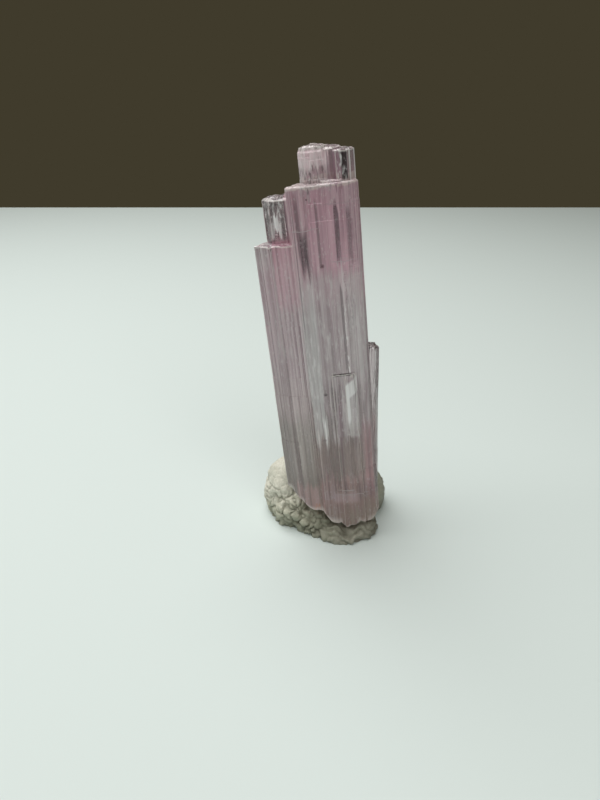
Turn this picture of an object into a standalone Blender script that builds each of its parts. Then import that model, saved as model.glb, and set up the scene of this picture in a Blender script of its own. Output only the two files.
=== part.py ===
"""Lilac tourmaline: a bundle of parallel striated prisms standing in a lump of mounting putty.

Metres, +Z up. The origin is near the middle of the putty's flat underside, +X is to the right of the
bundle's best side and -Y is towards its viewer. The crystal sizes below are millimetres in the
bundle's own frame: across runs to the right, back runs away from the viewer, and along runs up the
crystals' shared axis from a point just under the broken foot of the main prism.
"""

import math
import random
from collections import namedtuple

import bmesh
import bpy
from mathutils import Matrix, Vector

MM = 0.001

# How the bundle stands in the putty: leaning left, with the foot of its axis at the front on the right
LEAN = math.radians(6.3)
AXIS_FOOT = Vector((2.1, -2.4, 0.45)) * MM

# Lengthwise striations of the faces and the worn rim of a flat end, in millimetres
RIB_PITCH = 0.30
RIB_DEPTH = 0.07
WORN = 0.05
FIRST_SEED = 40

# Cross-sections as shares of a prism's own width and depth, anticlockwise from the left, front at 0
STOUT = (
    (0, 0.09), (0.02, 0.045), (0.09, 0), (0.76, 0), (0.94, 0.05), (1, 0.14),
    (0.98, 0.4), (0.84, 0.76), (0.62, 1), (0.46, 0.97), (0.2, 0.42), (0.06, 0.18),
)
HEXAGONAL = ((0, 0.5), (0.2, 0.07), (0.72, 0), (1, 0.4), (0.8, 0.93), (0.26, 1))
TRIGONAL = (
    (0, 0.3), (0.14, 0.05), (0.55, 0), (0.94, 0.12),
    (1, 0.42), (0.68, 0.93), (0.44, 1), (0.16, 0.75),
)
FLANK = (
    (0, 0.34), (0.36, 0.07), (0.76, 0), (0.9, 0.01),
    (1, 0.11), (1, 0.8), (0.55, 1), (0.1, 0.62),
)
PLATE = ((0, 0.3), (0.06, 0), (0.94, 0), (1, 0.3), (1, 1), (0, 1))

# One crystal of the bundle: its box across and back, its reach along the axis, the height and the inset of
# the slanting rim round its flat end, and how far its axis splays to the right of the bundle's
Prism = namedtuple("Prism", "name section left right front back foot top rim inset splay")
PRISMS = (
    Prism("main", STOUT, -2.15, 2.15, 0.0, 3.9, 0.0, 25.06, WORN, WORN, 0.0),
    Prism("shoulder_step", HEXAGONAL, -0.4, 1.7, 0.1, 2.4, 21.0, 25.2, WORN, WORN, 0.0),
    Prism("crown_left", TRIGONAL, -1.24, 0.6, 0.7, 2.9, 21.0, 27.0, 0.2, 0.28, 0.0),
    Prism("crown_middle", HEXAGONAL, -0.6, 1.35, 0.8, 3.0, 21.0, 26.84, 0.1, 0.12, 0.0),
    Prism("crown_right", HEXAGONAL, 0.57, 2.07, 0.3, 2.1, 20.0, 26.7, 0.06, 0.08, 0.0),
    Prism("left_rear", HEXAGONAL, -3.62, -1.4, 0.75, 2.6, 2.6, 24.42, 0.14, 0.16, 0.0),
    Prism("left_front", FLANK, -4.38, -1.8, 0.05, 2.1, 2.0, 21.86, 0.06, 0.06, 0.0),
    Prism("right_sliver", HEXAGONAL, 1.2, 2.13, 0.58, 1.9, 2.0, 14.7, 0.2, 0.14, 3.3),
    Prism("front_plate", PLATE, -0.56, 1.2, -0.1, 1.0, 0.0, 13.2, 0.02, 0.05, 0.0),
    Prism("front_facet", PLATE, 0.28, 1.14, -0.17, 1.0, 8.5, 13.16, 0.4, 0.1, 0.0),
    Prism("rear_right", HEXAGONAL, 0.15, 1.95, 2.6, 4.6, 0.6, 21.4, 0.1, 0.1, 0.0),
    Prism("rear_left", TRIGONAL, -2.55, -0.4, 1.9, 4.1, 1.0, 23.5, 0.1, 0.1, 0.0),
)

# Shell-like bulges of the broken foot: across, back, along and radius of curvature, in millimetres, then
# the spacing of the surface made from them, and the cutter's reach across, back and below the axis foot
BREAK_BULGES = (
    (-1.05, 0.0, 0.92, 0.35),
    (-0.3, -0.05, 0.58, 0.22),
    (0.15, 0.1, 0.68, 0.35),
    (1.15, 0.2, 0.85, 0.55),
    (2.0, 1.3, 1.15, 0.60),
    (-1.85, 0.2, 2.1, 0.35),
    (-2.5, 0.1, 2.3, 0.45),
    (-3.1, 0.3, 3.1, 0.50),
    (-3.9, 0.7, 4.1, 0.50),
    (-4.5, 1.1, 5.1, 0.50),
    (-3.3, 2.1, 3.2, 0.80),
    (-1.4, 1.3, 1.3, 0.80),
    (-2.3, 1.5, 2.2, 0.80),
    (-0.2, 1.5, 0.60, 1.0),
    (1.0, 1.9, 0.70, 1.0),
    (-1.5, 3.3, 1.2, 1.0),
    (0.1, 3.5, 0.8, 1.1),
    (1.4, 3.6, 1.0, 1.0),
)
BREAK_GRID = 0.2
BREAK_BOX = ((-4.9, 3.2), (-0.8, 5.0))
BREAK_DEPTH = 3.0

# Gap all round between the crystals and the putty, in millimetres
CLEARANCE = 0.3

# The putty's lumps, and how finely its skin follows them, in millimetres
LUMP_SIZE = 0.75
LUMP_HEIGHT = 0.5
PUTTY_VOXEL = 0.28

# Thumbed lobes of the putty: centre, then half sizes, in millimetres, and the meridians and rings of each
LOBE_GRID = (24, 16)
PUTTY_LOBES = (
    ((0.4, 0.6, 0.2), (3.8, 2.6, 1.3)),
    ((-2.85, 1.2, 1.6), (1.7, 2.0, 3.1)),
    ((-2.2, -0.3, 0.8), (1.7, 1.3, 1.9)),
    ((-0.6, -1.2, 0.3), (1.7, 1.2, 1.5)),
    ((1.3, -1.9, 0.1), (2.1, 1.4, 0.85)),
    ((2.95, -1.35, 0.3), (1.1, 1.5, 1.0)),
    ((3.7, 1.75, 1.0), (1.25, 1.7, 2.2)),
    ((0.6, 2.6, 0.9), (3.2, 1.35, 1.9)),
)


def clear_scene():
    """Removes whatever the file starts with."""
    for obj in list(bpy.data.objects):
        bpy.data.objects.remove(obj)


def material(name, colour, roughness, transmission=0.0, ior=1.5):
    """A Principled material of one colour."""
    made = bpy.data.materials.new(name)
    made.use_nodes = True
    shader = made.node_tree.nodes["Principled BSDF"]
    shader.inputs["Base Color"].default_value = (*colour, 1)
    shader.inputs["Roughness"].default_value = roughness
    shader.inputs["Metallic"].default_value = 0.0
    shader.inputs["Transmission Weight"].default_value = transmission
    shader.inputs["IOR"].default_value = ior
    return made


def bundle_matrix():
    """From the bundle's frame, in millimetres, to the world, in metres: leaning to the left."""
    return Matrix.Translation(AXIS_FOOT) @ Matrix.Rotation(-LEAN, 4, "Y") @ Matrix.Scale(MM, 4)


def finish(name, bm):
    """Turns a bmesh into an object of the scene."""
    mesh = bpy.data.meshes.new(name)
    bm.to_mesh(mesh)
    bm.free()
    obj = bpy.data.objects.new(name, mesh)
    bpy.context.scene.collection.objects.link(obj)
    return obj


def helper(obj):
    """Marks a cutter or a joining shape, which is no piece of its own."""
    obj.hide_render = True
    obj.display_type = "WIRE"
    return obj


def grow_together(obj, others):
    """Joins the other objects to this one, as one Boolean of a collection."""
    group = bpy.data.collections.new(obj.name + "_prisms")
    bpy.context.scene.collection.children.link(group)
    for other in others:
        bpy.context.scene.collection.objects.unlink(other)
        group.objects.link(other)
    union = obj.modifiers.new("grown_together", "BOOLEAN")
    union.operation = "UNION"
    union.solver = "EXACT"
    union.operand_type = "COLLECTION"
    union.collection = group


def cut_away(obj, cutter):
    """Cuts the cutter's shape from an object whose skin may cross itself where prisms meet."""
    cut = obj.modifiers.new(cutter.name, "BOOLEAN")
    cut.operation = "DIFFERENCE"
    cut.solver = "EXACT"
    cut.use_self = True
    cut.object = cutter


def outline_of(prism, grow):
    """The corners of a prism's cross-section in millimetres, moved outwards by grow."""
    left, right = prism.left - grow, prism.right + grow
    front, back = prism.front - grow, prism.back + grow
    return [Vector((left + u * (right - left), front + v * (back - front), 0)) for u, v in prism.section]


def striated(corners, seed):
    """The cross-section with the zigzag that lengthwise striations give it: each face is cut into
    strips of uneven width, and every other line between them lies below the face."""
    chance = random.Random(seed)
    points = []
    for start, end in zip(corners, corners[1:] + corners[:1]):
        edge = end - start
        inward = Vector((-edge.y, edge.x, 0)).normalized()
        strips = max(1, round(edge.length / RIB_PITCH))
        points.append(start)
        for strip in range(strips):
            share = (strip + 0.5 + chance.uniform(-0.18, 0.18)) / strips
            points.append(start + edge * share + inward * RIB_DEPTH * chance.uniform(0.35, 1.0))
            if strip < strips - 1:
                ridge = (strip + 1 + chance.uniform(-0.12, 0.12)) / strips
                points.append(start + edge * ridge + inward * RIB_DEPTH * chance.uniform(0.0, 0.25))
    return points


def prism_object(prism, grow, seed):
    """One prism with a rimmed flat end. A seed gives it striations, and none leaves its faces plain."""
    outline = outline_of(prism, grow)
    middle = sum(outline, Vector()) / len(outline)
    if seed is not None:
        outline = striated(outline, seed)
    low, high = prism.foot - grow, prism.top + grow
    bm = bmesh.new()
    rings = []
    for along, inset in ((low, 0), (high - prism.rim, 0), (high, prism.inset)):
        lift = Vector((0, 0, along))
        rings.append([bm.verts.new(p + (middle - p).normalized() * inset + lift) for p in outline])
    for below, above in zip(rings, rings[1:]):
        for a, b, c, d in zip(below, below[1:] + below[:1], above[1:] + above[:1], above):
            bm.faces.new((a, b, c, d))
    bm.faces.new(reversed(rings[0]))
    bm.faces.new(rings[-1])
    pivot = Matrix.Translation((0, 0, prism.foot))
    splay = pivot @ Matrix.Rotation(math.radians(prism.splay), 4, "Y") @ pivot.inverted()
    bmesh.ops.transform(bm, matrix=bundle_matrix() @ splay, verts=bm.verts)
    return finish("prism_" + prism.name, bm)


def break_height(across, back, lower):
    """How high above the axis foot the crystal's broken end lies, in millimetres."""
    bulges = [
        along + ((across - u) ** 2 + (back - v) ** 2) / (2 * radius)
        for u, v, along, radius in BREAK_BULGES
    ]
    return min(bulges) - lower


def break_cutter(lower):
    """A slab whose top is the broken end's shell-like surface, to be cut away from the prisms' feet."""
    (left, right), (front, rear) = BREAK_BOX
    columns = round((right - left) / BREAK_GRID)
    rows = round((rear - front) / BREAK_GRID)
    bm = bmesh.new()
    bmesh.ops.create_grid(bm, x_segments=columns, y_segments=rows, size=0.5)
    for vert in bm.verts:
        across = left + (vert.co.x + 0.5) * (right - left)
        back = front + (vert.co.y + 0.5) * (rear - front)
        vert.co = (across, back, break_height(across, back, lower))
    rim = [edge for edge in bm.edges if edge.is_boundary]
    skirt = bmesh.ops.extrude_edge_only(bm, edges=rim)
    floor_verts = [part for part in skirt["geom"] if isinstance(part, bmesh.types.BMVert)]
    for vert in floor_verts:
        vert.co.z = -BREAK_DEPTH
    bmesh.ops.contextual_create(bm, geom=[e for e in bm.edges if e.is_boundary])
    bmesh.ops.recalc_face_normals(bm, faces=bm.faces)
    bmesh.ops.transform(bm, matrix=bundle_matrix(), verts=bm.verts)
    return helper(finish("break_cutter", bm))


def bundle(name, grow, ribbed):
    """All prisms grown together and broken off at the foot, each side moved out by grow."""
    prisms = []
    for number, prism in enumerate(PRISMS):
        seed = FIRST_SEED + number if ribbed else None
        prisms.append(prism_object(prism, grow, seed))
    main_prism = prisms[0]
    main_prism.name = name
    grow_together(main_prism, [helper(obj) for obj in prisms[1:]])
    cut_away(main_prism, break_cutter(grow))
    return main_prism


def putty_lump(name, imprint):
    """Lobes of putty pushed together, grained by kneading, cut flat below and dented by the crystals."""
    meridians, rings = LOBE_GRID
    bm = bmesh.new()
    for centre, half in PUTTY_LOBES:
        place = Matrix.Translation(Vector(centre) * MM) @ Matrix.Diagonal((*(Vector(half) * MM), 1))
        bmesh.ops.create_uvsphere(bm, u_segments=meridians, v_segments=rings, radius=1, matrix=place)
    lump = finish(name, bm)
    blend = lump.modifiers.new("blend", "REMESH")
    blend.mode = "VOXEL"
    blend.voxel_size = PUTTY_VOXEL * MM
    grain = bpy.data.textures.new("kneaded", "CLOUDS")
    grain.noise_scale = LUMP_SIZE * MM
    grain.noise_depth = 1
    knead = lump.modifiers.new("knead", "DISPLACE")
    knead.texture = grain
    knead.texture_coords = "LOCAL"
    knead.strength = LUMP_HEIGHT * MM
    knead.mid_level = 0.5
    cut_away(lump, floor_block())
    cut_away(lump, imprint)
    return lump


def floor_block():
    """What lies under the putty's flat underside."""
    bm = bmesh.new()
    side, depth = 20 * MM, 6 * MM
    place = Matrix.Translation((0, 0, -depth / 2)) @ Matrix.Diagonal((side, side, depth, 1))
    bmesh.ops.create_cube(bm, size=1, matrix=place)
    return helper(finish("floor_block", bm))


def main():
    clear_scene()
    crystals = bundle("tourmaline_crystals", 0.0, True)
    crystals.data.materials.append(material("lilac tourmaline", (0.52, 0.36, 0.42), 0.12, 0.85, 1.63))
    imprint = helper(bundle("crystal_imprint", CLEARANCE, False))
    lump = putty_lump("mounting_putty", imprint)
    lump.data.materials.append(material("grey putty", (0.52, 0.51, 0.43), 0.75))
    lump.data.shade_smooth()


main()
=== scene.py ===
import bisect
import math
import random
from collections import namedtuple

import bmesh
import bpy
from bpy.props import FloatProperty, IntProperty, PointerProperty
from mathutils import Matrix, Vector, noise


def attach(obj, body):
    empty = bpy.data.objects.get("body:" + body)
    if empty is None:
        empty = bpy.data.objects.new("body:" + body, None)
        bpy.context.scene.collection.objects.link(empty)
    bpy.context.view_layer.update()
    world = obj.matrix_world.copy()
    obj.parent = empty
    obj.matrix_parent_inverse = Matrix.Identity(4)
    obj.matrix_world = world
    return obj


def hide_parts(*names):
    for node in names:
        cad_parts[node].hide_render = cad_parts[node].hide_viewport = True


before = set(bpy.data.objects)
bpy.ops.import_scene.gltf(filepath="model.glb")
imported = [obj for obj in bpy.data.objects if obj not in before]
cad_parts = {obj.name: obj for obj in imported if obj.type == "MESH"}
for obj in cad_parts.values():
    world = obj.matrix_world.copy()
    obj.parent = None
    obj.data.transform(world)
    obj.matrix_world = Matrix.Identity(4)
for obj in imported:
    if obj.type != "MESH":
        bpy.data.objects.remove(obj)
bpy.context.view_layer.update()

bl_info = {
    "name": "Tourmaline specimen",
    "version": (1, 0, 0),
    "blender": (4, 5, 0),
    "location": "3D View > Sidebar > Specimen",
    "description": "Grows a bundle of striated tourmaline prisms and kneads the putty it stands in",
    "category": "Add Mesh",
}

MM = 0.001

# How the bundle stands in the putty, as in the part's source
LEAN = math.radians(6.3)
AXIS_FOOT = Vector((2.1, -2.4, 0.45)) * MM

# Cross-sections as shares of a prism's own width and depth, anticlockwise from the left, front at 0
STOUT = (
    (0, 0.09), (0.02, 0.045), (0.055, 0.018), (0.25, 0), (0.68, 0.004), (0.88, 0.02), (0.94, 0.05), (1, 0.14),
    (0.98, 0.4), (0.84, 0.76), (0.62, 1), (0.46, 0.97), (0.2, 0.42), (0.06, 0.18),
)
HEXAGONAL = ((0, 0.5), (0.2, 0.07), (0.72, 0), (1, 0.4), (0.8, 0.93), (0.26, 1))
TRIGONAL = (
    (0, 0.3), (0.14, 0.05), (0.55, 0), (0.94, 0.12),
    (1, 0.42), (0.68, 0.93), (0.44, 1), (0.16, 0.75),
)
FLANK = (
    (0, 0.34), (0.36, 0.07), (0.76, 0), (0.9, 0.01),
    (1, 0.11), (1, 0.8), (0.55, 1), (0.1, 0.62),
)
PLATE = ((0, 0.3), (0.06, 0), (0.94, 0), (1, 0.3), (1, 1), (0, 1))

# One crystal of the bundle, in millimetres: its box across and back, its reach along the axis, the height
# and the inset of each slanting band round its flat end, and how far it splays to the right and tips back
# going down, in degrees
Prism = namedtuple("Prism", "name section left right front back foot top rim splay tip", defaults=(0.0, 0.0))
WORN_RIM = ((0.04, 0.03), (0.06, 0.09))
STEPPED_RIM = ((0.1, 0.06), (0.17, 0.05), (0.07, 0.16))
ROUNDED_RIM = ((0.1, 0.03), (0.09, 0.09), (0.05, 0.17))
PRISMS = (
    Prism("main", STOUT, -2.15, 2.15, 0.0, 3.9, 0.0, 25.06, WORN_RIM),
    Prism("shoulder_step", HEXAGONAL, -0.4, 1.7, 0.1, 2.4, 21.0, 25.2, WORN_RIM),
    Prism("crown_left", TRIGONAL, -1.24, 0.6, 0.7, 2.9, 21.0, 27.0, STEPPED_RIM),
    Prism("crown_middle", HEXAGONAL, -0.6, 1.35, 0.8, 3.0, 21.0, 26.84, ((0.1, 0.12),)),
    Prism("crown_right", HEXAGONAL, 0.57, 2.07, 0.3, 2.1, 20.0, 26.7, ((0.06, 0.08),)),
    Prism("left_rear", HEXAGONAL, -3.62, -1.4, 0.75, 2.6, 2.6, 24.42, ((0.14, 0.16),)),
    Prism("left_front", FLANK, -4.38, -1.8, 0.05, 2.1, 2.0, 21.86, ((0.06, 0.06),)),
    Prism("right_sliver", HEXAGONAL, 1.2, 2.13, 0.58, 1.9, 2.0, 14.7, ROUNDED_RIM, splay=3.3),
    Prism("front_plate", PLATE, -0.56, 1.2, -0.1, 1.0, 0.0, 13.2, ((0.02, 0.05),)),
    Prism("front_facet", PLATE, 0.3, 1.12, -0.18, 1.0, 6.5, 13.16, ((0.5, 0.1),), tip=1.0),
    Prism("rear_right", HEXAGONAL, 0.15, 1.95, 2.6, 4.6, 0.6, 21.4, ((0.1, 0.1),)),
    Prism("rear_left", TRIGONAL, -2.55, -0.4, 1.9, 4.1, 1.0, 23.5, ((0.1, 0.1),)),
)

# Shell-like bulges of the broken foot: across, back, along and radius of curvature, in millimetres
BREAK_BULGES = (
    (-1.05, 0.0, 0.92, 0.35), (-0.3, -0.05, 0.58, 0.22), (0.15, 0.1, 0.68, 0.35),
    (1.15, 0.2, 0.85, 0.55), (2.0, 1.3, 1.15, 0.60), (-1.85, 0.2, 2.1, 0.35),
    (-2.5, 0.1, 2.3, 0.45), (-3.1, 0.3, 3.1, 0.50), (-3.9, 0.7, 4.1, 0.50),
    (-4.5, 1.1, 5.1, 0.50), (-3.3, 2.1, 3.2, 0.80), (-1.4, 1.3, 1.3, 0.80),
    (-2.3, 1.5, 2.2, 0.80), (-0.2, 1.5, 0.60, 1.0), (1.0, 1.9, 0.70, 1.0),
    (-1.5, 3.3, 1.2, 1.0), (0.1, 3.5, 0.8, 1.1), (1.4, 3.6, 1.0, 1.0),
)
BREAK_BOX = ((-4.9, 3.2), (-0.8, 5.0))

# The break's grid and the height of its ripples, in millimetres, how many of them there are across and along
# each millimetre, and how far down its block reaches. The imprint in the putty has the same break a little
# lower, so the crystals don't cut into it there
BREAK_GRID = 0.09
BREAK_RIPPLE = 0.05
RIPPLES = (2.5, 3.0)
BREAK_FLOOR = -3.0

# Striations and growth steps, in millimetres: least and greatest width of a groove's side, the height over
# which a groove deepens and fades, the width of a growth plate, and the half height of the step at its end
STRIA_WIDTHS = (0.1, 0.36)
STRIA_RUN = 5.0
PLATE_WIDTHS = (0.35, 1.3)
STEP_EDGE = 0.02

# Depths of a groove and of the crest beside it as shares of the deepest, how deep a groove is on average and
# how much that varies along it, which part of a crystal has growth steps, and how many plates end at each
GROOVE_DEPTHS = (0.3, 1.0)
CREST_DEPTHS = (0.0, 0.2)
GROOVE_LEVEL = 0.6
GROOVE_SWING = 1.3
STEPPED_PART = (0.2, 0.97)
PLATES_ENDING = 0.45

# Rings of a flat end, as shares of the way to its middle
END_RINGS = (0.3, 0.6, 0.85)

# Distance between two points of the plainer outline that is pressed into the putty, in millimetres
IMPRINT_PITCH = 0.4

# Edges that turn less than this are shaded smooth, so that striations look polished and ends stay crisp
SMOOTH_ANGLE = math.radians(9)

# How far below its end a crystal's wall wears and is painted with a highlight, in millimetres
RIM_REACH = 0.12

# How much less the long edges wear and are painted with a highlight than the ends
SIDE_WEAR_AND_HIGHLIGHT = 0.7

# Colours along the axis, from the foot to the ends
ZONE_COLOURS = (
    (0.0, "#CDBBB3"), (0.12, "#C6B6AF"), (0.22, "#D3CBC6"), (0.42, "#E9E4E4"),
    (0.62, "#EADDE1"), (0.74, "#E6C6D0"), (0.90, "#E8C4D0"), (0.96, "#F0DADF"), (1.0, "#F6EEEC"),
)
DEEP_STREAK = "#9A7F8B"
PALE_STREAK = "#FAF6F6"
# Pale edges: partly real wear, partly a painted highlight where the edges catch the light
WORN_EDGE_AND_HIGHLIGHT = "#F2EEE8"
ABSORBED_TINT = "#E6CFD6"
TOURMALINE_IOR = 1.63

# Streaks of the crystals: how many across and along each millimetre, between which values of the noise they
# fade, and how rough they are. The finest real striations are finer than a pixel of the render, which is
# about 0.07 mm at the crystals, so the finest streaks here are drawn about that far apart
Streak = namedtuple("Streak", "across along low high detail", defaults=(2.0,))
STREAKS = {
    "broad": Streak(1.5, 0.03, 0.40, 0.60),
    "runs": Streak(2.4, 0.22, 0.44, 0.58),
    "fine": Streak(6.0, 0.05, 0.42, 0.58, 3.0),
    "hair": Streak(14.0, 0.12, 0.35, 0.65),
    "specks": Streak(9.0, 4.0, 0.60, 0.68),
    "steps": Streak(0.9, 9.0, 0.58, 0.66),
    "fray": Streak(4.5, 0.12, 0.0, 1.0),
    "cluster": Streak(1.6, 0.7, 0.42, 0.56),
    "banded": Streak(1.4, 7.0, 0.53, 0.62),
    "beaded": Streak(10.0, 2.6, 0.50, 0.62, 3.0),
    "mottled": Streak(10.0, 1.1, 0.50, 0.62, 3.0),
    "speckled": Streak(11.0, 2.6, 0.52, 0.62, 3.0),
}
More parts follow.
